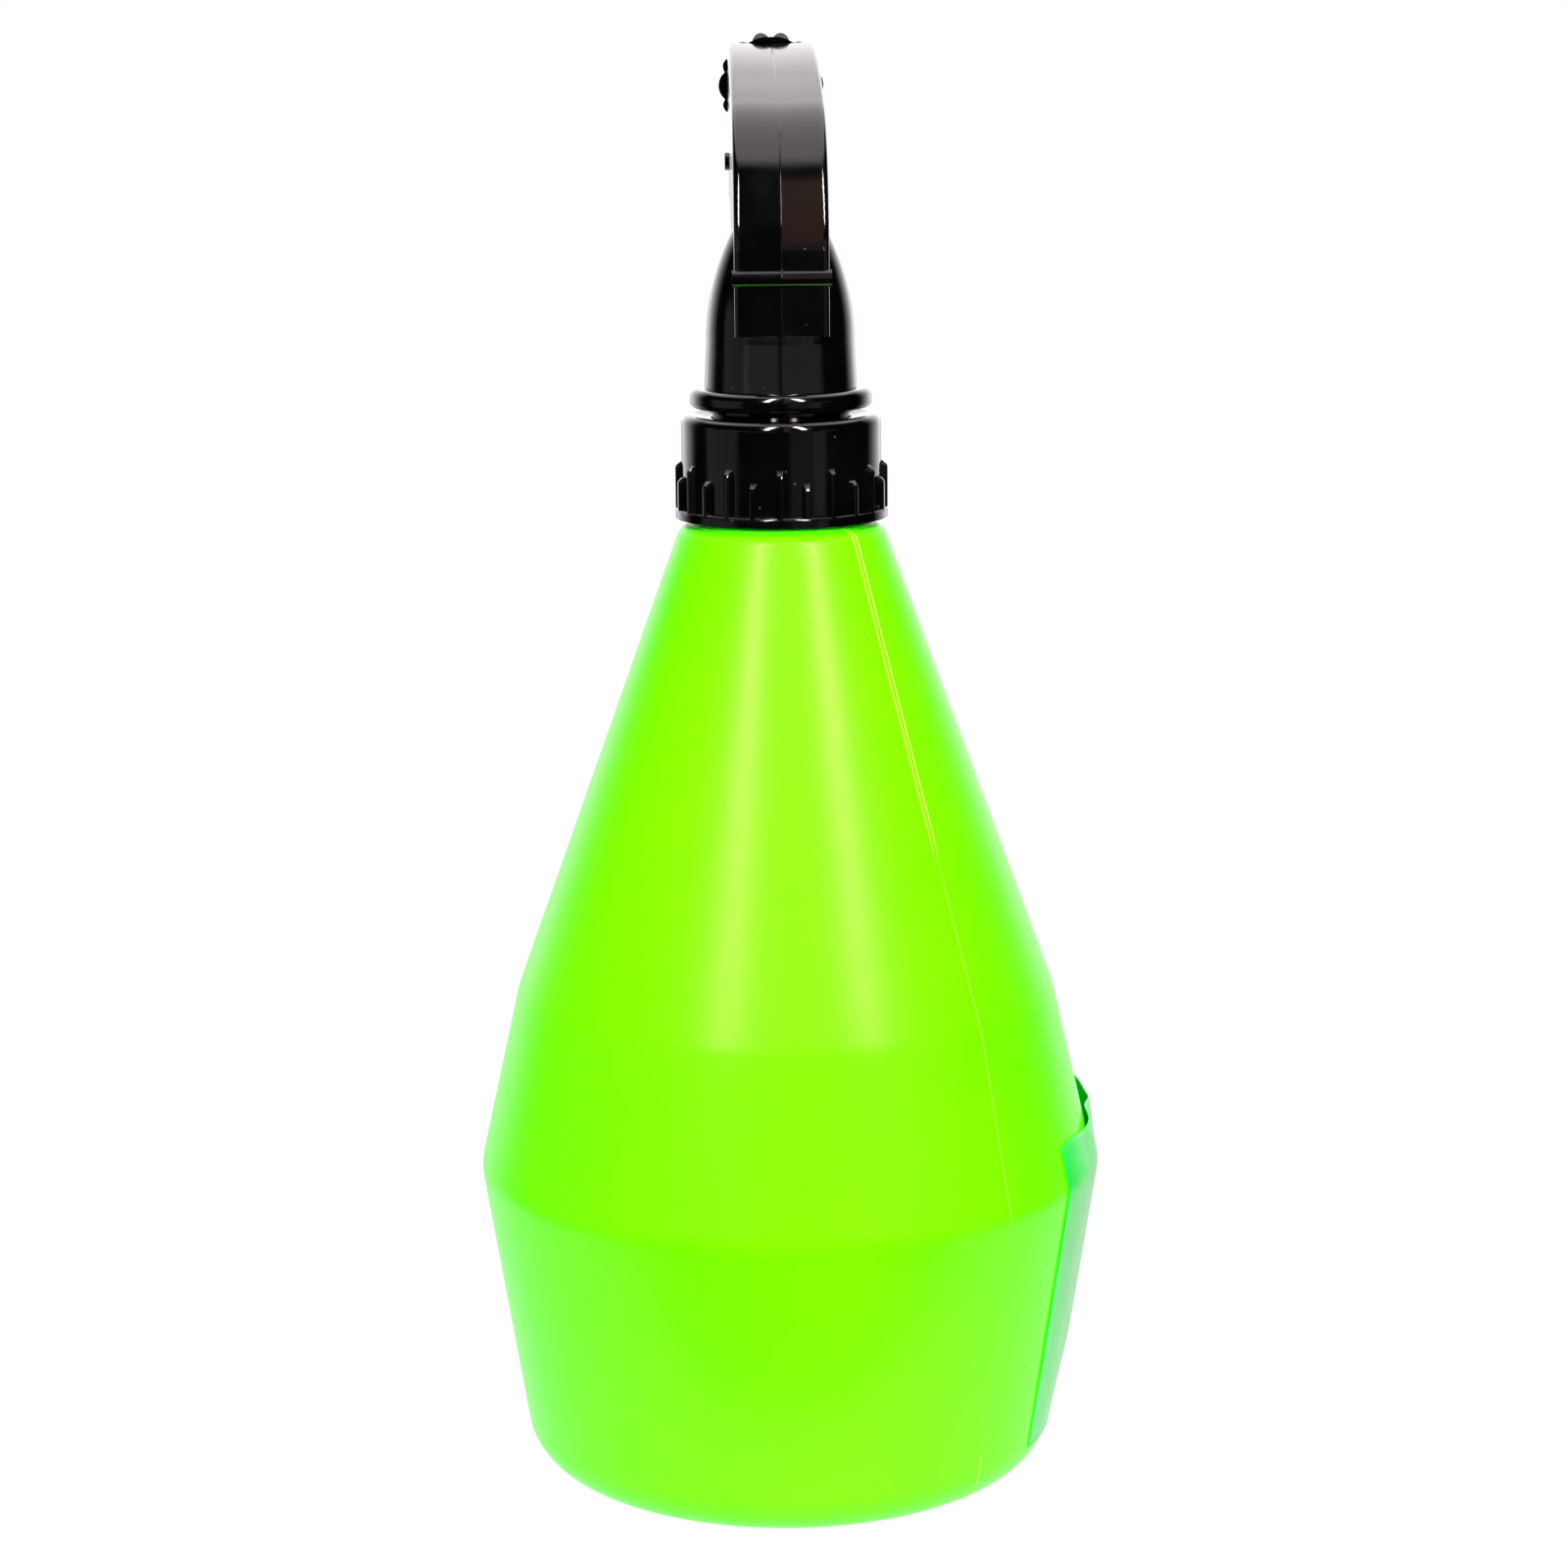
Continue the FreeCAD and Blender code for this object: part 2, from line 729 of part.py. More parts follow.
def make_pin(label, radius, y, z, half_length):
    pin = DOC.addObject("Part::Cylinder", label)
    pin.Label = label
    bind(pin, "Radius", radius)
    bind(pin, "Height", f"2 * ({half_length})")
    across = Rotation(Vector(0, 1, 0), 90)
    pin.Placement = Placement(Vector(-size(half_length), size(y), size(z)), across)
    return pin


# ---- trigger and piston ----------------------------------------------------


def make_trigger():
    """A curved channel: finger web in front, two side flanges behind, and a pivot eye."""
    body = new_body("trigger")

    def grip(sketch):
        outline = [
            ("grip_y + 5.2", "pump_height + 6.5", "60.2"),
            ("grip_y + 1.6", "pump_height - 14", "65.9"),
            ("grip_y + 7.4", "pump_height - 41", "-1.6"),
            ("grip_y + 5.0", "pump_height - 42.2", "-56.7"),
            ("grip_y - 4.4", "pump_height - 16", "-224"),
            ("grip_y - 5.4", "pump_height + 2"),
            ("grip_y - 4.0", "pump_height + 6.5"),
        ]
        draw_loop(sketch, outline)

    swept(body, "grip", grip, "grip_width")
    front = size("grip_width") / 2

    def outer_edges(edge):
        box = edge.BoundBox
        level = abs(abs(box.XMin) - front) < 0.01 and box.XLength < 0.01
        return level and box.ZLength > 10 and box.YMin > size("grip_y + 1")

    rounded(body, "grip_edges", "0.9", outer_edges)

    def eye(sketch):
        outline = [
            ("grip_y - 3.4", "pump_height + 4"),
            ("grip_y + 3.8", "pump_height + 4"),
            ("grip_y + 3.6", "pivot_z - 5"),
            ("pivot_y + eye_radius", "pivot_z", "eye_radius"),
            ("pivot_y", "pivot_z + eye_radius", "eye_radius"),
            ("pivot_y - eye_radius", "pivot_z", "22"),
        ]
        draw_loop(sketch, outline)

    swept(body, "eye", eye, "eye_width")

    def hollow(sketch):
        outline = [
            ("grip_y + 3.2", "pump_height + 6", "60.2"),
            ("grip_y - 0.3", "pump_height - 14", "65.9"),
            ("grip_y + 4.1", "pump_height - 36"),
            ("grip_y - 12", "pump_height - 36"),
            ("grip_y - 12", "pump_height + 6"),
        ]
        draw_loop(sketch, outline)

    swept(body, "hollow", hollow, "eye_width - 1.2", kind="Pocket")

    def holes(sketch):
        draw_circle(sketch, "pivot_y", "pivot_z", "pin_radius + pin_play")
        draw_circle(sketch, "link_y", "pump_height", "link_radius")

    swept(body, "pin_holes", holes, "grip_width + 2", kind="Pocket")
    return body


def make_piston():
    """Hollow plunger with two seal grooves and a forked rod, drawn along the pump's axis."""
    body = new_body("piston")
    rear, collar = "4", "15"
    front = "link_y - 2.6"
    outline = [
        (f"{rear}", "4.3"),
        (f"{rear}", "piston_radius"),
    ]
    for start in ("5", "12"):
        outline += [
            (start, "piston_radius"),
            (start, "piston_radius - 1.3"),
            (f"{start} + 2", "piston_radius - 1.3"),
            (f"{start} + 2", "piston_radius"),
        ]
    outline += [
        (collar, "piston_radius"),
        (collar, "rod_radius"),
        (front, "rod_radius"),
        (front, "0"),
        ("12", "0"),
        ("12", "4.3"),
    ]
    turned(body, "plunger", [(radius, along) for along, radius in outline])

    above, below, beside = "link_radius + 0.9", "link_radius + 0.4", "link_radius + 0.12"

    def tongue(sketch):
        top, bottom = f"-({above} + link_wall)", f"{below} + link_wall"
        end = f"link_y + {beside} + link_wall"
        outline = [
            (top, f"{front} - 8"),
            (bottom, f"{front} - 8"),
            (bottom, f"{end} - 1", "1"),
            (f"{bottom} - 1", end),
            (f"{top} + 1", end, "1"),
            (top, f"{end} - 1"),
        ]
        draw_loop(sketch, outline)

    swept(body, "tongue", tongue, "rod_radius * 1.7", role="YZ_Plane")

    def slot(sketch):
        draw_loop(sketch, box_points(f"-({above})", f"link_y - ({beside})", below, f"link_y + {beside}"))

    swept(body, "slot", slot, "rod_radius * 4", kind="Pocket", role="YZ_Plane")
    body.Placement = pump_place()
    return body


def make_seal(label, start):
    """A lip seal in one of the piston's grooves."""
    body = new_body(label)
    inner = "piston_radius - 1.3"
    outline = [
        (inner, start),
        ("seal_radius - 0.5", start),
        ("seal_radius", f"{start} + 0.5"),
        ("seal_radius", f"{start} + 0.9"),
        ("seal_radius - 0.35", f"{start} + 2"),
        (inner, f"{start} + 2"),
    ]
    turned(body, "lip", outline)
    body.Placement = pump_place()
    return body


def make_return_spring():
    """Steel coil between the pump's end wall and the piston's hollow, as one swept wire."""
    wire, coil_radius, turns = 0.8, 3.4, 8
    low, high = -size("pump_end") + wire / 2 + 0.1, 12 - wire / 2 - 0.1
    path = Part.makeHelix((high - low) / turns, high - low, coil_radius)
    section = Part.Wire(Part.Circle(Vector(coil_radius, 0, 0), Vector(0, 1, 0), wire / 2).toShape())
    spring = DOC.addObject("Part::Feature", "return_spring")
    spring.Label = "return_spring"
    spring.Shape = Part.Wire(path.Edges).makePipeShell([section], True, True)
    spring.Placement = pump_place() * Placement(Vector(0, 0, low), Rotation())
    return spring


# ---- nozzle ----------------------------------------------------------------


def make_outlet_valve():
    """Rubber duckbill that lets liquid out of the chamber's back wall and none back in."""
    body = new_body("outlet_valve")
    outline = [
        ("0.5", "0"),
        ("chamber_radius", "0"),
        ("chamber_radius", "1"),
        ("1.9", "1.2"),
        ("0.6", "3.4"),
        ("0.12", "3.4"),
        ("0.5", "1"),
    ]
    turned(body, "bill", outline)
    body.Placement = nozzle_place(2)
    return body


def make_swirl_insert():
    """Post with two feed flats and a swirl face, pressed into the barrel's mouth."""
    body = new_body("swirl_insert")
    outline = [
        ("0", "4.2"),
        ("1.6", "4.2"),
        ("2.0", "4.8"),
        ("chamber_radius", "4.8"),
        ("chamber_radius", "9"),
        ("1.3", "9"),
        ("1.3", "8.6"),
        ("0", "8.6"),
    ]
    turned(body, "post", outline)

    def feeds(sketch):
        for side in ("1", "-1"):
            draw_circle(sketch, f"{side} * chamber_radius", "0", "0.8")

    swept(body, "feeds", feeds, "12", kind="Pocket", role="XY_Plane", start="0", back=True)
    body.Placement = nozzle_place(2)
    return body


def make_nozzle_o_ring():
    ring = DOC.addObject("Part::Torus", "nozzle_o_ring")
    ring.Label = "nozzle_o_ring"
    bind(ring, "Radius1", "nozzle_barrel - 0.58")
    bind(ring, "Radius2", "0.62")
    ring.Placement = nozzle_place(3.7)
    return ring


def make_nozzle_knob():
    """Cup with fourteen lobes, turned by hand; the two at its sides are wide."""
    body = new_body("nozzle_knob")
    turned(body, "core", box_points("0", "knob_near", "knob_valley", "knob_far"))
    reach = "knob_far - knob_near"
    add_lobes(body, "wide", 16.5, ["0"], reach)
    narrow = [f"{number} * 360 / lobe_count" for number in range(1, round(size("lobe_count / 2")))]
    add_lobes(body, "narrow", 9.5, narrow, reach)
    for name, edge, inward in (("near", "knob_near", 1), ("far", "knob_far", -1)):
        bevel = [
            ("knob_outer - 0.7", f"{edge} - {inward}"),
            ("knob_outer + 1", f"{edge} - {inward}"),
            ("knob_outer + 1", f"{edge} + {2.4 * inward}"),
            ("knob_outer - 0.7", f"{edge}"),
        ]
        turned(body, f"{name}_bevel", bevel, kind="Groove")
    inside = [
        ("0", "knob_near - 1"),
        ("knob_bore", "knob_near - 1"),
        ("knob_bore", "6.2"),
        ("knob_bore + 0.4", "6.8"),
        ("knob_bore + 0.4", "8.2"),
        ("knob_bore", "8.9"),
        ("knob_bore", "barrel_length + 0.2"),
        ("orifice", "barrel_length + 0.2"),
        ("orifice", "knob_far - 3.6"),
        ("knob_valley - 4.4", "knob_far - 3.6"),
        ("knob_valley - 2", "knob_far"),
        ("knob_valley - 2", "knob_far + 1"),
        ("0", "knob_far + 1"),
    ]
    turned(body, "inside", inside, kind="Groove")
    body.Placement = nozzle_place(0)
    return body


def add_lobes(body, name, half_angle, turns, reach):
    """Round-backed lobes that span half_angle each side, at each turn within a half circle."""
    half_chord = f"knob_valley * sin({half_angle})"
    rise = f"(knob_outer - knob_valley * cos({half_angle}))"
    radius = f"(({half_chord})^2 + {rise}^2) / (2 * {rise})"

    pads = []
    for number, turn in enumerate(turns, start=1):
        def circle(sketch, turn=turn):
            middle = f"(knob_outer - {radius})"
            draw_circle(sketch, f"{middle} * cos({turn})", f"{middle} * sin({turn})", radius)

        label = f"{name}_lobe_{number}"
        pads.append(swept(body, label, circle, reach, role="XY_Plane", start="knob_near"))
    patterned(body, f"{name}_lobes", pads, "2")


def build():
    fill_sheet()
    pieces = [
        make_bottle(),
        make_label(),
        make_closure_cap(),
        make_neck_gasket(),
        make_tube_retainer(),
        make_dip_tube(),
        make_tube_filter(),
        make_inlet_ball(),
        make_head_body(),
        make_pin("pivot_pin", "pin_radius", "pivot_y", "pivot_z", "pin_half"),
        make_trigger(),
        make_pin("link_pin", "link_radius", "link_y", "pump_height", "grip_width / 2 - 0.4"),
        make_piston(),
        make_seal("main_seal", "5"),
        make_seal("vent_seal", "12"),
        make_return_spring(),
        make_outlet_valve(),
        make_swirl_insert(),
        make_nozzle_o_ring(),
        make_nozzle_knob(),
    ]
    DOC.recompute()
    check_and_write(pieces)


def check_and_write(pieces):
    """Stop on anything that failed, and then write one STEP file for each piece."""
    for thing in DOC.Objects:
        if "Invalid" in thing.State or "Error" in thing.State:
            raise RuntimeError(f"{thing.Name} failed: {thing.State}")
    for piece in pieces:
        if piece.Shape.isNull() or not piece.Shape.isValid() or not piece.Shape.Solids:
            raise RuntimeError(f"{piece.Label} has no valid solid")
    os.makedirs("parts", exist_ok=True)
    for piece in pieces:
        piece.Shape.exportStep(f"parts/{piece.Label}.step")
        print(f"{piece.Label}: {piece.Shape.Volume / 1000:.3f} cm3, {len(piece.Shape.Solids)} solid(s)")


build()
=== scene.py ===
import json
import math

import bmesh
import bpy
from mathutils import Euler, Matrix, Vector
from mathutils.bvhtree import BVHTree


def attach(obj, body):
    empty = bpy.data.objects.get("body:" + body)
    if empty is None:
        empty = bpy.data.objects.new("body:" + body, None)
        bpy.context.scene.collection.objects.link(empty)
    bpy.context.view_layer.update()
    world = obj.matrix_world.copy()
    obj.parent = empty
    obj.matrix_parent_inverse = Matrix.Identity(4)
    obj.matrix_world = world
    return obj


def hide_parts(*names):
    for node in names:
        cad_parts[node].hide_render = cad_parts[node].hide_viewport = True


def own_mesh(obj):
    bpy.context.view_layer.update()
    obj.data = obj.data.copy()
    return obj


MM = 0.001

# Bottle outline, outside: radius, height and the rounding of each corner, in millimetres.
BASE_RADIUS, BASE_ROUND = 43.6, 8.7
RIDGE_RADIUS, RIDGE_HEIGHT, RIDGE_ROUND = 51.8, 52.0, 9.0
KINK_RADIUS, KINK_HEIGHT, KINK_ROUND = 45.0, 82.0, 16.0
SHOULDER_RADIUS, SHOULDER_HEIGHT, SHOULDER_ROUND = 16.77, 159.5, 2.5
COLLAR_RADIUS, COLLAR_TOP = 15.2, 160.9
NECK_RADIUS, NECK_BORE, NECK_TOP = 12.5, 10.6, 172.7
FOOT_RADIUS, PUSH_UP_RADIUS, PUSH_UP = 30.0, 24.0, 3.0
THREAD_PITCH, THREAD_START, THREAD_DEPTH, THREAD_TURNS = 4.23, 163.4, 1.2, 1.5

# Cap ribs: number, turn of the first, foot height, heights above it, inner radius and section (across, out).
RIB_COUNT, RIB_TURN, RIB_FOOT, LONG_RIB, SHORT_RIB, RIB_INNER = 24, -2.4, 162.8, 7.3, 5.2, 16.3
RIB_SECTION = (
    (-0.70, 0.0), (-0.46, 0.94), (-0.38, 1.07), (-0.24, 1.13),
    (0.24, 1.13), (0.38, 1.07), (0.46, 0.94), (0.70, 0.0),
)

# The black pieces are shaded as if they sloped away by this much on each side of the parting plane.
GABLE_SLOPE = 0.080

# Azimuths are in degrees from the near side (-Y) towards +X.
SEAM_AZIMUTH = 42.5
SEAMS = (SEAM_AZIMUTH, SEAM_AZIMUTH + 180)
LABEL_START, LABEL_SPAN = 61.5, 142.0
LABEL_BOTTOM = 6.5

# Mould lines: how far they stand proud. High on the bottle each is double. Lower down it is single and
# faint, and stronger near the foot.
DOUBLE_SEAM, UPPER_SEAM, LOWER_SEAM, FOOT_SEAM = 0.11, 0.035, 0.006, 0.09
DOUBLE_SEAM_FROM, DOUBLE_SEAM_FADE, FOOT_SEAM_TOP = KINK_HEIGHT + 26, 5, 9
DOUBLE_HALF_GAP, DOUBLE_SEAM_WIDTH, SINGLE_SEAM_WIDTH = 0.42, 0.13, 0.16

# The bottle's columns of vertices: evenly round it, but close together across each mould line.
COLUMN_COUNT, SEAM_CLEARANCE = 240, 4.2
SEAM_STEPS = (-1.0, -0.72, -0.55, -0.42, -0.3, -0.2, -0.1, 0, 0.1, 0.2, 0.3, 0.42, 0.55, 0.72, 1.0)

# How far the label stands off the bottle, in millimetres, at angles from its left edge.
LABEL_MIDDLE = ((0, 0.1), (12, 0.35), (28, 1.1), (45, 1.2), (62, 0.7), (80, 0.3), (108, 0.5), (142, 0.1))
LABEL_EDGE = (
    (0, 0.15), (12, 0.3), (21, 0.9), (27, 0.5), (36, 2.2), (46, 3.0), (58, 1.4), (72, 0.7), (86, 1.8),
    (102, 0.8), (117, 1.3), (130, 0.4), (142, 0.15),
)

# Where the parting line is sampled: up the sprayer's back, then forward over its crown (start, step, count).
BACK_SAMPLES, CROWN_SAMPLES, CROWN_END = (181.6, 0.14, 300), (-5.4, 0.2, 230), 43.0

# The lights aim at this point of the object from this distance, in metres.
AIM, LIGHT_DISTANCE = (0, 0, 0.13), 1.3
WHITE = (1, 1, 1)

# Soft dim patches near the horizon for the black plastic to mirror: azimuth, half width, elevation and
# half height, all in degrees, and brightness.
PATCHES = (
    (-40, 27, 1.0, 3.5, 0.34),
    (39, 33, 1.0, 3.5, 0.30),
    (30, 14, -7.0, 5.0, 0.14),
    (51, 10, -8.0, 6.0, 0.25),
    (-82, 22, -3.0, 12.0, 0.25),
)

# The Mix node's sockets by number, because its socket names repeat: two inputs and the output.
MIX_COLOURS, MIX_VECTORS = (6, 7, 2), (4, 5, 1)

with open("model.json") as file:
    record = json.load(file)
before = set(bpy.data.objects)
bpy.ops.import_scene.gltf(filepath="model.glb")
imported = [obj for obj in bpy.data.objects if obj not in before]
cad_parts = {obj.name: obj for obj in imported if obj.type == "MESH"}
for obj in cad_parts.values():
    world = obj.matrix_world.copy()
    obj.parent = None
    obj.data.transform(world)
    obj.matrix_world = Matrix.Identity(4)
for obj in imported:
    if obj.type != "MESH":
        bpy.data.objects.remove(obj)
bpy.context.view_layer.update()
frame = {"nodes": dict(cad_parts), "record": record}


# ---- material helpers -------------------------------------------------------


class Shader:
    """Small helper that adds nodes to one material and links them."""

    def __init__(self, name):
        self.material = bpy.data.materials.new(name)
        self.material.use_nodes = True
        self.tree = self.material.node_tree
        self.bsdf = self.tree.nodes["Principled BSDF"]
        self.where = self.add("ShaderNodeTexCoord").outputs["Object"]

    def add(self, kind, **settings):
        node = self.tree.nodes.new(kind)
        for key, value in settings.items():
            setattr(node, key, value)
        return node

    def link(self, source, target):
        self.tree.links.new(source, target)

    def noise(self, scale, detail=2.0, rough=0.5, stretch=(1, 1, 1)):
        """Noise from 0 to 1 in the piece's own space, finer along an axis with a larger stretch."""
        place = self.add("ShaderNodeMapping")
        place.inputs["Scale"].default_value = stretch
        self.link(self.where, place.inputs["Vector"])
        node = self.add("ShaderNodeTexNoise")
        node.inputs["Scale"].default_value = scale
        node.inputs["Detail"].default_value = detail
        node.inputs["Roughness"].default_value = rough
        self.link(place.outputs["Vector"], node.inputs["Vector"])
        return node.outputs["Fac"]

    def ramp(self, source, low, high, start=0.0, end=1.0):
        """Maps a value to a range, start and end being the input's limits."""
        node = self.add("ShaderNodeMapRange")
        node.inputs["From Min"].default_value = start
        node.inputs["From Max"].default_value = end
        node.inputs["To Min"].default_value = low
        node.inputs["To Max"].default_value = high
        self.link(source, node.inputs["Value"])
        return node.outputs["Result"]

    def mix(self, factor, first, second):
        """Mixes two colours, each a colour or a socket, by a socket from 0 to 1."""
        first_socket, second_socket, result = MIX_COLOURS
        node = self.add("ShaderNodeMix", data_type="RGBA")
        self.link(factor, node.inputs["Factor"])
        for value, number in ((first, first_socket), (second, second_socket)):
            if isinstance(value, tuple):
                node.inputs[number].default_value = (*value, 1)
            else:
                self.link(value, node.inputs[number])
        return node.outputs[result]

    def bump(self, source, height, before=None):
        """A bump of this height in metres; a second one is laid on the first."""
        node = self.add("ShaderNodeBump")
        node.inputs["Strength"].default_value = 1.0
        node.inputs["Distance"].default_value = height
        self.link(source, node.inputs["Height"])
        if before is not None:
            self.link(before, node.inputs["Normal"])
        return node.outputs["Normal"]

    def set(self, **values):
        """Sets the surface's inputs, named with underscores, to values, colours or sockets."""
        for name, value in values.items():
            socket = self.bsdf.inputs[name.replace("_", " ")]
            if isinstance(value, bpy.types.NodeSocket):
                self.link(value, socket)
            elif isinstance(value, tuple):
                socket.default_value = (*value, 1)
            else:
                socket.default_value = value
        return self


def bottle_material():
    """Lime-green blown plastic: fine orange-peel skin, faint colour drift, and a painted highlight along the
    mould lines.
    """
    s = Shader("bottle_green")
    drift = s.ramp(s.noise(18, 3), 0, 1, 0.35, 0.65)
    colour = s.mix(drift, (0.062, 0.880, 0.0), (0.076, 0.920, 0.0))
    # make_bottle stores how proud the mould line is at each vertex; the lighter yellow-green mixed in there
    # is a painted highlight along the mould lines.
    seam_highlight = s.add("ShaderNodeAttribute", attribute_name="seam_highlight").outputs["Fac"]
    colour = s.mix(seam_highlight, colour, (0.24, 0.93, 0.03))
    peel = s.bump(s.noise(1500, 2, 0.55), 0.00002)
    peel = s.bump(s.noise(160, 2), 0.00002, peel)
    rough = s.ramp(s.noise(260, 3), 0.28, 0.34)
    s.set(Base_Color=colour, Roughness=rough, Normal=peel)
    s.set(Subsurface_Weight=0.12, Subsurface_Scale=0.004)
    s.bsdf.inputs["Subsurface Radius"].default_value = (0.6, 1.0, 0.2)
    s.bsdf.inputs["IOR"].default_value = 1.36
    s.bsdf.inputs["Specular Tint"].default_value = (1.0, 1.0, 0.4, 1.0)
    return s.material


def black_material():
    """Glossy black moulding: a crease along the parting plane, flow marks, dust and small rubs."""
    s = Shader("black_plastic")
    flow = s.ramp(s.noise(60, 3, 0.6, (1, 1, 2.5)), 0, 1, 0.4, 0.75)
    specks = s.add("ShaderNodeTexVoronoi")
    specks.inputs["Scale"].default_value = 300
    s.link(s.where, specks.inputs["Vector"])
    dust = s.ramp(specks.outputs["Distance"], 1, 0, 0.030, 0.060)
    colour = s.mix(flow, (0.0003, 0.0003, 0.0003), (0.0008, 0.0007, 0.0007))
    colour = s.mix(dust, colour, (0.030, 0.026, 0.023))
    rough = s.ramp(s.noise(95, 4, 0.65), 0.06, 0.17, 0.3, 0.8)
    split = s.add("ShaderNodeSeparateXYZ")
    s.link(s.where, split.inputs[0])
    from_plane = s.add("ShaderNodeMath", operation="ABSOLUTE")
    s.link(split.outputs["X"], from_plane.inputs[0])
    fall = s.ramp(from_plane.outputs[0], 0, -GABLE_SLOPE, 0, 1)
    crease = s.bump(fall, 1.0)
    skin = s.bump(s.noise(70, 3), 0.00005, crease)
    s.set(Base_Color=colour, Roughness=rough, Normal=skin)
    s.bsdf.inputs["IOR"].default_value = 1.52
    s.bsdf.inputs["Specular Tint"].default_value = (1.0, 0.94, 0.98, 1.0)
    return s.material


def label_material():
    """Emerald printed film with a satin sheen and fine crinkles."""
    s = Shader("label_film")
    drift = s.ramp(s.noise(90, 3), 0, 1, 0.35, 0.7)
    colour = s.mix(drift, (0.003, 0.34, 0.022), (0.006, 0.40, 0.034))
    crinkle = s.bump(s.noise(240, 3, 0.6, (1, 1, 0.5)), 0.00012)
    rough = s.ramp(s.noise(500, 2), 0.24, 0.36)
    s.set(Base_Color=colour, Roughness=rough, Normal=crinkle)
    s.bsdf.inputs["Coat Weight"].default_value = 0.15
    s.bsdf.inputs["Coat Roughness"].default_value = 0.25
    return s.material


def natural_material():
    """Milky moulded polypropylene of the inner pieces."""
    s = Shader("natural_plastic")
    drift = s.ramp(s.noise(140, 3), 0, 1, 0.35, 0.7)
    colour = s.mix(drift, (0.70, 0.71, 0.67), (0.80, 0.80, 0.77))
    skin = s.bump(s.noise(700, 2), 0.00003)
    s.set(Base_Color=colour, Roughness=s.ramp(s.noise(300, 3), 0.30, 0.46), Normal=skin)
    s.set(Subsurface_Weight=0.15, Subsurface_Scale=0.002)
    return s.material


def tube_material():
    """Translucent drawn tube with faint lines along its length."""
    s = Shader("tube_plastic")
    lines = s.ramp(s.noise(400, 2, 0.5, (1, 1, 0.02)), 0, 1, 0.35, 0.7)
    colour = s.mix(lines, (0.74, 0.80, 0.76), (0.84, 0.88, 0.85))
    s.set(Base_Color=colour, Roughness=s.ramp(s.noise(220, 2), 0.18, 0.30), Normal=s.bump(lines, 0.00003))
    s.bsdf.inputs["Alpha"].default_value = 0.6
    return s.material


def rubber_material():
    """Dark matt rubber with a faint bloom."""
    s = Shader("seal_rubber")
    bloom = s.ramp(s.noise(420, 3), 0, 1, 0.4, 0.75)
    colour = s.mix(bloom, (0.014, 0.014, 0.014), (0.040, 0.040, 0.042))
    skin = s.bump(s.noise(1800, 2), 0.00003)
    s.set(Base_Color=colour, Roughness=s.ramp(s.noise(300, 2), 0.55, 0.75), Normal=skin)
    return s.material


def steel_material():
    """Drawn steel with fine grain."""
    s = Shader("steel")
    grain = s.ramp(s.noise(900, 3, 0.6, (1, 12, 1)), 0, 1, 0.35, 0.7)
    colour = s.mix(grain, (0.52, 0.52, 0.53), (0.66, 0.66, 0.67))
    s.set(Base_Color=colour, Roughness=s.ramp(grain, 0.16, 0.32), Normal=s.bump(grain, 0.000008))
    s.bsdf.inputs["Metallic"].default_value = 1.0
    return s.material


def floor_material():
    """Dim grey floor with a light of its own, so that it looks white in the picture."""
    s = Shader("studio_floor")
    grey = s.ramp(s.noise(40, 3), 0.115, 0.130)
    s.set(Base_Color=s.mix(grey, (0, 0, 0), WHITE), Roughness=0.9)
    s.bsdf.inputs["Specular IOR Level"].default_value = 0.1
    s.bsdf.inputs["Emission Color"].default_value = (1, 1, 1, 1)
    s.bsdf.inputs["Emission Strength"].default_value = 0.90
    return s.material


MATERIALS = {
    "bottle_green": bottle_material(),
    "black_plastic": black_material(),
    "label_film": label_material(),
    "natural_plastic": natural_material(),
    "tube_plastic": tube_material(),
    "seal_rubber": rubber_material(),
    "steel": steel_material(),
}


def dress(piece, material):
    """Gives the piece this one material."""
    piece.data.materials.clear()
    piece.data.materials.append(material)
    return piece


# ---- mesh helpers -----------------------------------------------------------


def mesh_piece(name, vertices, faces, soft_edges=True):
    """A new object in the scene, from vertices in metres."""
    mesh = bpy.data.meshes.new(name)
    mesh.from_pydata([tuple(v) for v in vertices], [], faces)
    mesh.update()
    piece = bpy.data.objects.new(name, mesh)
    bpy.context.scene.collection.objects.link(piece)
    for polygon in mesh.polygons:
        polygon.use_smooth = soft_edges
    return piece


def remove_loose(piece):
    """Drops vertices that no face uses and turns every face outwards."""
    mesh = bmesh.new()
    mesh.from_mesh(piece.data)
    bmesh.ops.delete(mesh, geom=[v for v in mesh.verts if not v.link_faces], context="VERTS")
    bmesh.ops.recalc_face_normals(mesh, faces=mesh.faces)
    mesh.to_mesh(piece.data)
    mesh.free()


def rounded_outline(corners, step_degrees=3.0):
    """Points along an outline whose corners (x, y, rounding) are turned into arcs."""
    points = []
    for number, (x, y, radius) in enumerate(corners):
        here = Vector((x, y))
        if not radius or number in (0, len(corners) - 1):
            points.append(here)
            continue
        before = (Vector(corners[number - 1][:2]) - here).normalized()
        after = (Vector(corners[number + 1][:2]) - here).normalized()
        half = before.angle(after) / 2
        reach = radius / math.tan(half)
        centre = here + (before + after).normalized() * (radius / math.sin(half))
        start, end = here + before * reach - centre, here + after * reach - centre
        turn = start.angle_signed(end)
        steps = max(2, round(math.degrees(abs(turn)) / step_degrees))
        for k in range(steps + 1):
            points.append(centre + Matrix.Rotation(-turn * k / steps, 2) @ start)
    return points


def split_long(points, longest):
    """The same outline with points added along its long runs."""
    out = [points[0]]
    for a, b in zip(points, points[1:]):
        steps = max(1, math.ceil((b - a).length / longest))
        out += [a.lerp(b, k / steps) for k in range(1, steps + 1)]
    return out


def direction(azimuth):
    """Unit vector in the floor plane at this azimuth from -Y towards +X."""
    a = math.radians(azimuth)
    return Vector((math.sin(a), -math.cos(a), 0))


# ---- bottle -----------------------------------------------------------------


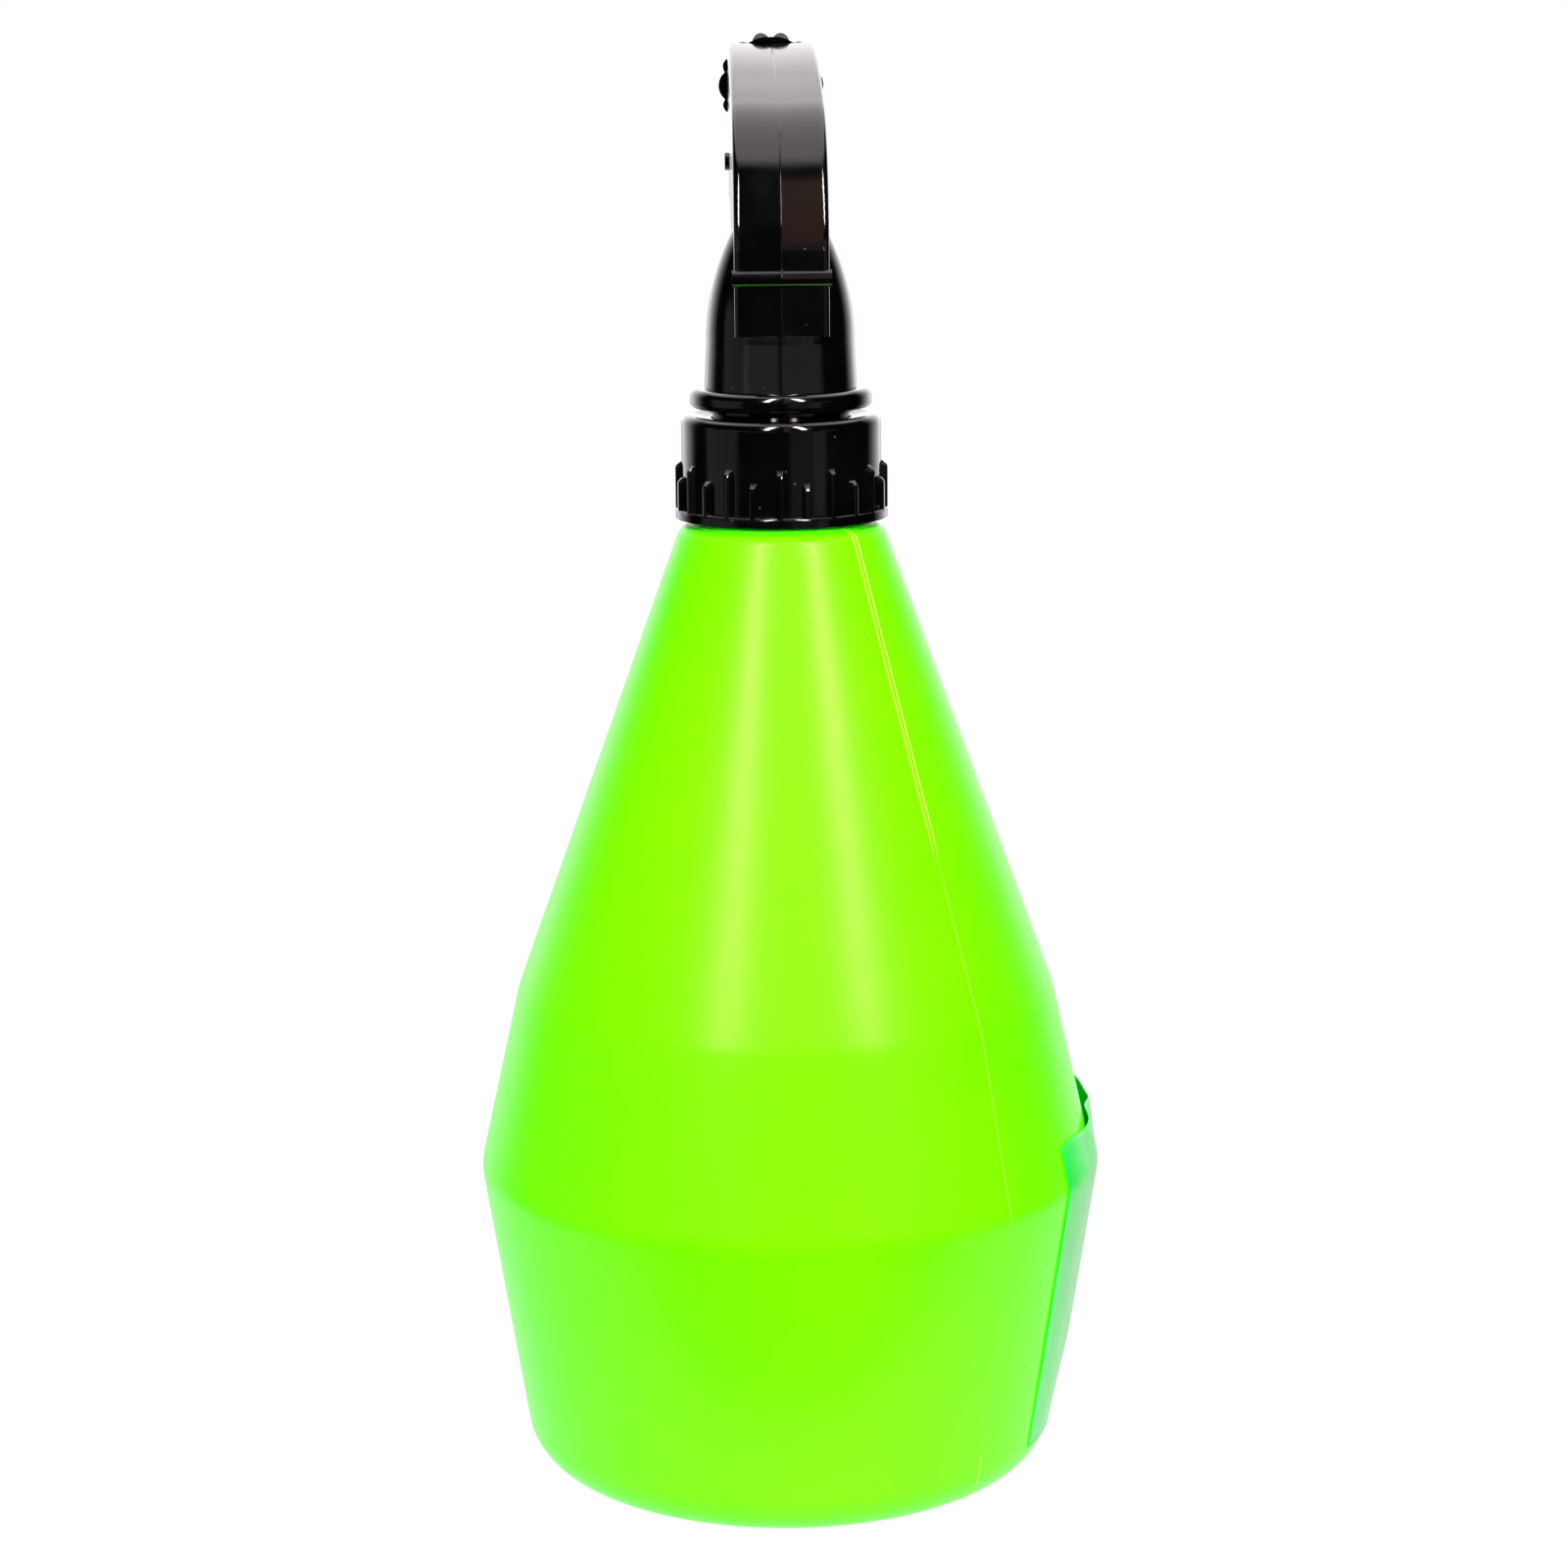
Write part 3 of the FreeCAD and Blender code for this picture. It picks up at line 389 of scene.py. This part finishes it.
def bottle_outside():
    """Outline of the bottle's outside, from the middle of its base up to the inside of its neck."""
    corners = [
        (0, PUSH_UP, 0),
        (PUSH_UP_RADIUS, PUSH_UP, 6),
        (FOOT_RADIUS, 0, 2),
        (BASE_RADIUS, 0, BASE_ROUND),
        (RIDGE_RADIUS, RIDGE_HEIGHT, RIDGE_ROUND),
        (KINK_RADIUS, KINK_HEIGHT, KINK_ROUND),
        (SHOULDER_RADIUS, SHOULDER_HEIGHT, SHOULDER_ROUND),
        (COLLAR_RADIUS, SHOULDER_HEIGHT + 0.4, 0.3),
        (COLLAR_RADIUS, COLLAR_TOP, 0.4),
        (NECK_RADIUS, COLLAR_TOP, 0.3),
        (NECK_RADIUS, NECK_TOP, 0.4),
        (NECK_BORE, NECK_TOP, 0.4),
        (NECK_BORE, COLLAR_TOP - 1, 0),
    ]
    return split_long(rounded_outline(corners), 4.0)


def seam_height(across, height, radius):
    """How far the mould lines stand proud, in millimetres, at this distance across the seam."""
    under_foot = height < 0.4 and radius > PUSH_UP_RADIUS
    if radius < COLLAR_RADIUS - 0.5 or under_foot:
        return 0.0
    if height > DOUBLE_SEAM_FROM:
        fade = min(1.0, (height - DOUBLE_SEAM_FROM) / DOUBLE_SEAM_FADE)
        return DOUBLE_SEAM * fade * math.exp(-(((abs(across) - DOUBLE_HALF_GAP) / DOUBLE_SEAM_WIDTH) ** 2))
    proud = UPPER_SEAM if height > RIDGE_HEIGHT else LOWER_SEAM
    if height < FOOT_SEAM_TOP and radius > FOOT_RADIUS:
        proud = FOOT_SEAM
    return proud * math.exp(-((across / SINGLE_SEAM_WIDTH) ** 2))


def bottle_columns():
    """Azimuth of each column of vertices and, beside a mould line, its distance across in millimetres."""
    columns = [(360 * k / COLUMN_COUNT, 0.0) for k in range(COLUMN_COUNT)]
    columns = [c for c in columns if all(abs((c[0] - a + 180) % 360 - 180) > SEAM_CLEARANCE for a in SEAMS)]
    columns += [(a, step) for a in SEAMS for step in SEAM_STEPS]
    return sorted(columns, key=lambda c: (c[0] % 360, c[1]))


def make_bottle():
    """The bottle's skin, with its mould lines, and the thread on its neck."""
    outline = bottle_outside()
    columns = bottle_columns()
    vertices, seam_highlight_values = [], []
    for number, point in enumerate(outline):
        before, after = outline[max(0, number - 1)], outline[min(len(outline) - 1, number + 1)]
        along = (after - before).normalized()
        outward = Vector((along.y, -along.x))
        for azimuth, across in columns:
            turn = azimuth + math.degrees(across / max(point.x, 14.0))
            proud = 0.0
            if azimuth in SEAMS:
                proud = seam_height(across, point.y, point.x)
            place = point + outward * proud
            vertices.append((direction(turn) * place.x + Vector((0, 0, place.y))) * MM)
            seam_highlight_values.append(min(1.0, proud / DOUBLE_SEAM))
    count = len(columns)
    faces = []
    for ring in range(1, len(outline) - 1):
        for k in range(count):
            a, b = ring * count + k, ring * count + (k + 1) % count
            faces.append((a, b, b + count, a + count))
    centre = len(vertices)
    vertices.append(Vector((0, 0, PUSH_UP)) * MM)
    seam_highlight_values.append(0.0)
    faces += [(centre, count + (k + 1) % count, count + k) for k in range(count)]
    piece = mesh_piece("bottle_shell", vertices, faces)
    # Mask for the painted highlight along the mould lines: how proud each line stands, from 0 to 1.
    seam_highlight = piece.data.attributes.new("seam_highlight", "FLOAT", "POINT")
    seam_highlight.data.foreach_set("value", seam_highlight_values)
    remove_loose(piece)
    dress(piece, MATERIALS["bottle_green"])
    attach(piece, "bottle")
    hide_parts("bottle")

    thread = make_thread()
    dress(thread, MATERIALS["bottle_green"])
    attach(thread, "bottle")


def make_thread():
    """The neck's screw thread: a ridge that runs up in a helix and dies away at both ends."""
    section = [(-0.3, -1.0), (0.25, -0.95), (1.0, -0.55), (THREAD_DEPTH, -0.3)]
    section += [(out, -up) for out, up in reversed(section)]
    steps = 110
    vertices = []
    for k in range(steps + 1):
        along = k / steps
        turn = 90 + 360 * THREAD_TURNS * along
        height = THREAD_START + THREAD_PITCH * THREAD_TURNS * along
        size = min(1.0, along * 14, (1 - along) * 14)
        for out, up in section:
            radius = NECK_RADIUS + (out if out < 0 else out * size)
            place = direction(turn) * radius + Vector((0, 0, height + up * (0.4 + 0.6 * size)))
            vertices.append(place * MM)
    count = len(section)
    faces = [tuple(range(count)), tuple(steps * count + k for k in reversed(range(count)))]
    for k in range(steps):
        for n in range(count):
            a, b = k * count + n, k * count + (n + 1) % count
            faces.append((a, a + count, b + count, b))
    return mesh_piece("bottle_thread", vertices, faces)


# ---- label ------------------------------------------------------------------


def bottle_radius(height):
    """Outside radius of the bottle's wall at this height, in millimetres."""
    wall = [p for p in bottle_outside() if p.x > BASE_RADIUS - BASE_ROUND - 1 or p.y > KINK_HEIGHT]
    wall = [p for p in wall if p.y <= SHOULDER_HEIGHT]
    for a, b in zip(wall, wall[1:]):
        if a.y <= height <= b.y and b.y > a.y:
            return a.x + (b.x - a.x) * (height - a.y) / (b.y - a.y)
    return wall[-1].x


def smooth(value):
    """Eases from 0 to 1, flat at both ends."""
    value = max(0.0, min(1.0, value))
    return value * value * (3 - 2 * value)


def between(points, value):
    """Smooth interpolation through (position, height) pairs."""
    for (x0, y0), (x1, y1) in zip(points, points[1:]):
        if value <= x1:
            return y0 + (y1 - y0) * smooth((value - x0) / (x1 - x0))
    return points[-1][1]


def label_top(turn):
    """Height of the label's upper edge at an angle from its left edge."""
    return 59.4 + 0.9 * smooth((turn - 20) / 25) + 0.35 * math.sin(math.radians(turn * 17.0))


def label_gap(turn, height):
    """How far the film stands off the bottle: it bulges a little and is loose along its upper edge."""
    loose = smooth(1 - (label_top(turn) - height) / 11.0)
    bulge = between(LABEL_MIDDLE, turn) * smooth((height - LABEL_BOTTOM) / 16.0)
    crinkle = 0.10 * math.sin(height * 0.9 + turn * 0.35) * smooth(turn / 20)
    return 0.10 + (bulge + crinkle * loose) * (1 - loose) + between(LABEL_EDGE, turn) * loose


def make_label():
    """The label as a thin closed film round the bottle."""
    across, up, thick = 190, 70, 0.10
    radii = {}
    vertices = []
    for side in (0, 1):
        for i in range(across + 1):
            turn = LABEL_SPAN * i / across
            top = label_top(turn)
            for j in range(up + 1):
                height = LABEL_BOTTOM + (top - LABEL_BOTTOM) * j / up
                key = round(height, 3)
                if key not in radii:
                    radii[key] = bottle_radius(height)
                radius = radii[key] + label_gap(turn, height) + side * thick
                vertices.append((direction(LABEL_START + turn) * radius + Vector((0, 0, height))) * MM)
    layer = (across + 1) * (up + 1)
    faces = []
    for i in range(across):
        for j in range(up):
            a = i * (up + 1) + j
            b = a + up + 1
            faces.append((a, a + 1, b + 1, b))
            faces.append((layer + a, layer + b, layer + b + 1, layer + a + 1))
    rim = [i * (up + 1) for i in range(across + 1)]
    rim += [across * (up + 1) + j for j in range(1, up + 1)]
    rim += [i * (up + 1) + up for i in reversed(range(across))]
    rim += [j for j in reversed(range(1, up))]
    for a, b in zip(rim, rim[1:] + rim[:1]):
        faces.append((a, b, layer + b, layer + a))
    piece = mesh_piece("label_wrap", vertices, faces)
    remove_loose(piece)
    dress(piece, MATERIALS["label_film"])
    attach(piece, "bottle")
    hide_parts("label")


# ---- carried-over CAD nodes -------------------------------------------------


def dress_cad():
    """Gives the CAD nodes that stay visible their materials."""
    slots = {s["node"]: s["material_slot"] for s in frame["record"]["subparts"]}
    for name, node in frame["nodes"].items():
        if name not in ("bottle", "label"):
            dress(node, MATERIALS[slots[name]])


# ---- cap ribs ---------------------------------------------------------------


def make_ribs():
    """The cap's grip ribs, long and short in turn, with drafted sides and sloping tops."""
    vertices, faces = [], []
    spacing = 360 / RIB_COUNT
    for number in range(RIB_COUNT):
        top = RIB_FOOT + (SHORT_RIB if number % 2 else LONG_RIB)
        turn = RIB_TURN + spacing * number
        outward, sideways = direction(turn), direction(turn + 90)
        # Heights and how much of the section stands there: the top slopes in to almost nothing.
        layers = ((RIB_FOOT - 0.3, 1.0), (top - 0.9, 1.0), (top - 0.5, 0.88), (top - 0.1, 0.5))
        layers += ((top + 0.25, 0.03),)
        first = len(vertices)
        for height, size in layers:
            for across, out in RIB_SECTION:
                radius = RIB_INNER + out * size
                place = outward * radius + sideways * across + Vector((0, 0, height))
                vertices.append(place * MM)
        count = len(RIB_SECTION)
        for layer in range(len(layers) - 1):
            for n in range(count):
                a = first + layer * count + n
                b = first + layer * count + (n + 1) % count
                faces.append((a, b, b + count, a + count))
        last = first + count * (len(layers) - 1)
        faces.append(tuple(range(first + count - 1, first - 1, -1)))
        faces.append(tuple(range(last, last + count)))
    piece = mesh_piece("cap_grip_ribs", vertices, faces, False)
    dress(piece, MATERIALS["black_plastic"])
    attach(piece, "cap")


# ---- parting line of the sprayer body ---------------------------------------


def surface_of(node):
    """A ray caster on one CAD node's own mesh, in metres."""
    mesh = node.data
    places = [v.co.copy() for v in mesh.vertices]
    return BVHTree.FromPolygons(places, [tuple(p.vertices) for p in mesh.polygons])


def back_points(surface):
    """Places and outward directions along the middle of the sprayer's back and crown."""
    points = []
    start, step, count = BACK_SAMPLES
    for k in range(count):
        height = start + k * step
        place, normal = surface.ray_cast(Vector((0.0001, -0.08, height * MM)), Vector((0, 1, 0)))[:2]
        if place is not None:
            points.append((place, normal))
    start, step, count = CROWN_SAMPLES
    for k in range(count):
        forward = start + k * step
        place, normal = surface.ray_cast(Vector((0.0001, forward * MM, 0.3)), Vector((0, 0, -1)))[:2]
        if place is not None and forward < CROWN_END:
            points.append((place, normal))
    return points


def make_parting_line():
    """A thin flash ridge where the two halves of the mould met."""
    points = back_points(surface_of(frame["nodes"]["head_body"]))
    section = ((-0.15, -0.03), (-0.05, 0.07), (0.05, 0.07), (0.15, -0.03))
    vertices = []
    for place, normal in points:
        outward = Vector((0, normal.y, normal.z)).normalized()
        for across, out in section:
            vertices.append(Vector((across * MM, place.y, place.z)) + outward * out * MM)
    faces = []
    longest_gap = 0.0008
    for k in range(len(points) - 1):
        if (points[k + 1][0] - points[k][0]).length > longest_gap:
            continue
        a, b = 4 * k, 4 * k + 4
        faces += [(a + n, a + n + 1, b + n + 1, b + n) for n in range(3)]
    piece = mesh_piece("head_parting_line", vertices, faces)
    remove_loose(piece)
    dress(piece, MATERIALS["black_plastic"])
    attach(piece, "head")


# ---- return spring ----------------------------------------------------------


def make_spring():
    """The coil spring behind the piston, copied from the CAD spring in steel and carried with the head."""
    source = frame["nodes"]["return_spring"].data
    places = [v.co.copy() for v in source.vertices]
    piece = mesh_piece("pump_spring_coil", places, [tuple(p.vertices) for p in source.polygons])
    dress(piece, MATERIALS["steel"])
    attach(piece, "head")
    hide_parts("return_spring")
    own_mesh(piece)


# ---- studio -----------------------------------------------------------------


def aimed(azimuth, elevation, distance, target):
    """The place in this direction and at this distance from the target."""
    e = math.radians(elevation)
    return Vector(target) + (direction(azimuth) * math.cos(e) + Vector((0, 0, math.sin(e)))) * distance


def add_strip(name, azimuth, elevation, width, height, radiance):
    """A soft rectangular light of known brightness that faces the object."""
    data = bpy.data.lights.new(name, "AREA")
    data.shape = "RECTANGLE"
    data.size, data.size_y = width, height
    data.energy = math.pi * width * height * radiance
    light = bpy.data.objects.new(name, data)
    bpy.context.scene.collection.objects.link(light)
    place = aimed(azimuth, elevation, LIGHT_DISTANCE, AIM)
    light.location = place
    light.rotation_euler = (Vector(AIM) - place).to_track_quat("-Z", "Y").to_euler()
    return light


def make_studio():
    """A floor that stays out of the bottle's reflections, three lights and the surroundings."""
    near_x, near_y, far_x, far_y = 0.15, -0.075, 2.2, 8
    corners = [(-near_x, near_y, 0), (near_x, near_y, 0), (far_x, far_y, 0), (-far_x, far_y, 0)]
    floor = mesh_piece("studio_floor_plane", corners, [(0, 1, 2, 3)], False)
    dress(floor, floor_material())
    add_strip("left_strip", -28, 38, 0.12, 0.90, 56.0)
    add_strip("right_strip", 35, 38, 0.13, 0.90, 54.0)
    fill = add_strip("front_fill", 0, 26, 0.50, 0.50, 66.0)
    fill.visible_glossy = False
    Sky().finish()


class Sky:
    """White surroundings: bright behind and overhead, dark on the camera's side."""

    def __init__(self):
        self.world = bpy.data.worlds.new("studio")
        self.world.use_nodes = True
        self.nodes = self.world.node_tree.nodes
        self.links = self.world.node_tree.links
        self.where = self.nodes.new("ShaderNodeTexCoord").outputs["Generated"]

    def math(self, operation, first, second, output="Vector"):
        """One vector operation on two inputs, each a value or a socket."""
        node = self.nodes.new("ShaderNodeVectorMath")
        node.operation = operation
        for number, value in enumerate((first, second)):
            if isinstance(value, bpy.types.NodeSocket):
                self.links.new(value, node.inputs[number])
            else:
                node.inputs[number].default_value = value
        return node.outputs[output]

    def step(self, source, start, end, low, high):
        """Eases from low to high as the source goes from start to end."""
        node = self.nodes.new("ShaderNodeMapRange")
        node.interpolation_type = "SMOOTHSTEP"
        for name, value in (("From Min", start), ("From Max", end), ("To Min", low), ("To Max", high)):
            node.inputs[name].default_value = value
        self.links.new(source, node.inputs["Value"])
        return node.outputs["Result"]

    def along(self, axis):
        """How far the direction that is seen points along this axis."""
        return self.math("DOT_PRODUCT", self.where, tuple(axis), "Value")

    def tinted(self, level, colour=WHITE):
        """This colour at a brightness that comes from a socket."""
        node = self.nodes.new("ShaderNodeVectorMath")
        node.operation = "SCALE"
        node.inputs[0].default_value = colour
        self.links.new(level, node.inputs["Scale"])
        return node.outputs["Vector"]

    def patch(self, azimuth, half_width, elevation, half_height, level):
        """One soft patch of light near the horizon."""
        edge = math.cos(math.radians(half_width * 1.15))
        core = math.cos(math.radians(half_width * 0.8))
        across = self.step(self.along(direction(azimuth)), edge, core, 0.0, level)
        middle, half = math.radians(elevation), math.radians(half_height)
        height = self.along((0, 0, 1))
        lower = self.step(height, middle - half * 1.3, middle - half * 0.7, 0.0, 1.0)
        upper = self.step(height, middle + half * 0.7, middle + half * 1.3, 1.0, 0.0)
        shaped = self.math("MULTIPLY", self.tinted(lower), self.tinted(upper))
        return self.math("MULTIPLY", shaped, self.tinted(across))

    def brown_patch(self):
        """A dim warm shape above the camera, seen only in the right half of the sprayer's back."""
        across, height = self.along((1, 0, 0)), self.along((0, 0, 1))
        shape = self.tinted(self.step(across, 0.05, 0.09, 0.0, 1.0), (1.0, 0.60, 0.40))
        for source, start, end in ((across, 0.34, 0.26), (height, 0.02, 0.12), (height, 0.84, 0.76)):
            edge = self.step(source, min(start, end), max(start, end), float(start > end), float(end > start))
            shape = self.math("MULTIPLY", shape, self.tinted(edge))
        front = self.step(self.along((0, -1, 0)), 0.0, 0.2, 0.0, 0.48)
        return self.math("MULTIPLY", shape, self.tinted(front))

    def dimmed(self, light):
        """The surroundings light matt surfaces less than they show in glossy ones."""
        matt = self.nodes.new("ShaderNodeLightPath").outputs["Is Diffuse Ray"]
        level = self.step(matt, 0.0, 1.0, 1.0, 0.22)
        return self.math("MULTIPLY", light, self.tinted(level))

    def finish(self):
        """Joins the surroundings' parts. The camera itself sees plain white behind the object."""
        behind = self.step(self.along((0, 1, 0)), 0.50, 0.97, 0.004, 1.95)
        overhead = self.step(self.along(aimed(180, 70, 1, (0, 0, 0))), 0.66, 0.80, 0.0, 2.1)
        lilac = (1.0, 0.965, 1.0)
        light = self.math("MAXIMUM", self.tinted(behind, lilac), self.tinted(overhead, lilac))
        light = self.math("ADD", light, self.brown_patch())
        for patch in PATCHES:
            light = self.math("ADD", light, self.patch(*patch))
        surroundings, background, result = MIX_VECTORS
        chosen = self.nodes.new("ShaderNodeMix")
        chosen.data_type = "VECTOR"
        seen = self.nodes.new("ShaderNodeLightPath").outputs["Is Camera Ray"]
        self.links.new(seen, chosen.inputs["Factor"])
        self.links.new(self.dimmed(light), chosen.inputs[surroundings])
        chosen.inputs[background].default_value = WHITE
        self.links.new(chosen.outputs[result], self.nodes["Background"].inputs["Color"])
        bpy.context.scene.world = self.world


def make_camera():
    """Behind the sprayer, a little above it, turned slightly so that the nozzle points to the left."""
    distance, height, pitch, roll, yaw = 0.600, 0.236, 11.3, 0.48, 1.5
    data = bpy.data.cameras.new("camera")
    data.lens = 84.15
    data.sensor_width = 36.0
    camera = bpy.data.objects.new("camera", data)
    bpy.context.scene.collection.objects.link(camera)
    look = Euler((math.radians(90 - pitch), 0, 0)).to_matrix()
    turn = Euler((0, 0, math.radians(-yaw))).to_matrix()
    lean = Euler((0, 0, math.radians(-roll))).to_matrix()
    camera.matrix_world = (turn @ look @ lean).to_4x4()
    camera.location = turn @ Vector((0, -distance, height))
    bpy.context.scene.camera = camera


make_camera()
make_bottle()
make_label()
dress_cad()
make_ribs()
make_parting_line()
make_spring()
make_studio()
bpy.context.scene.view_settings.view_transform = "Standard"
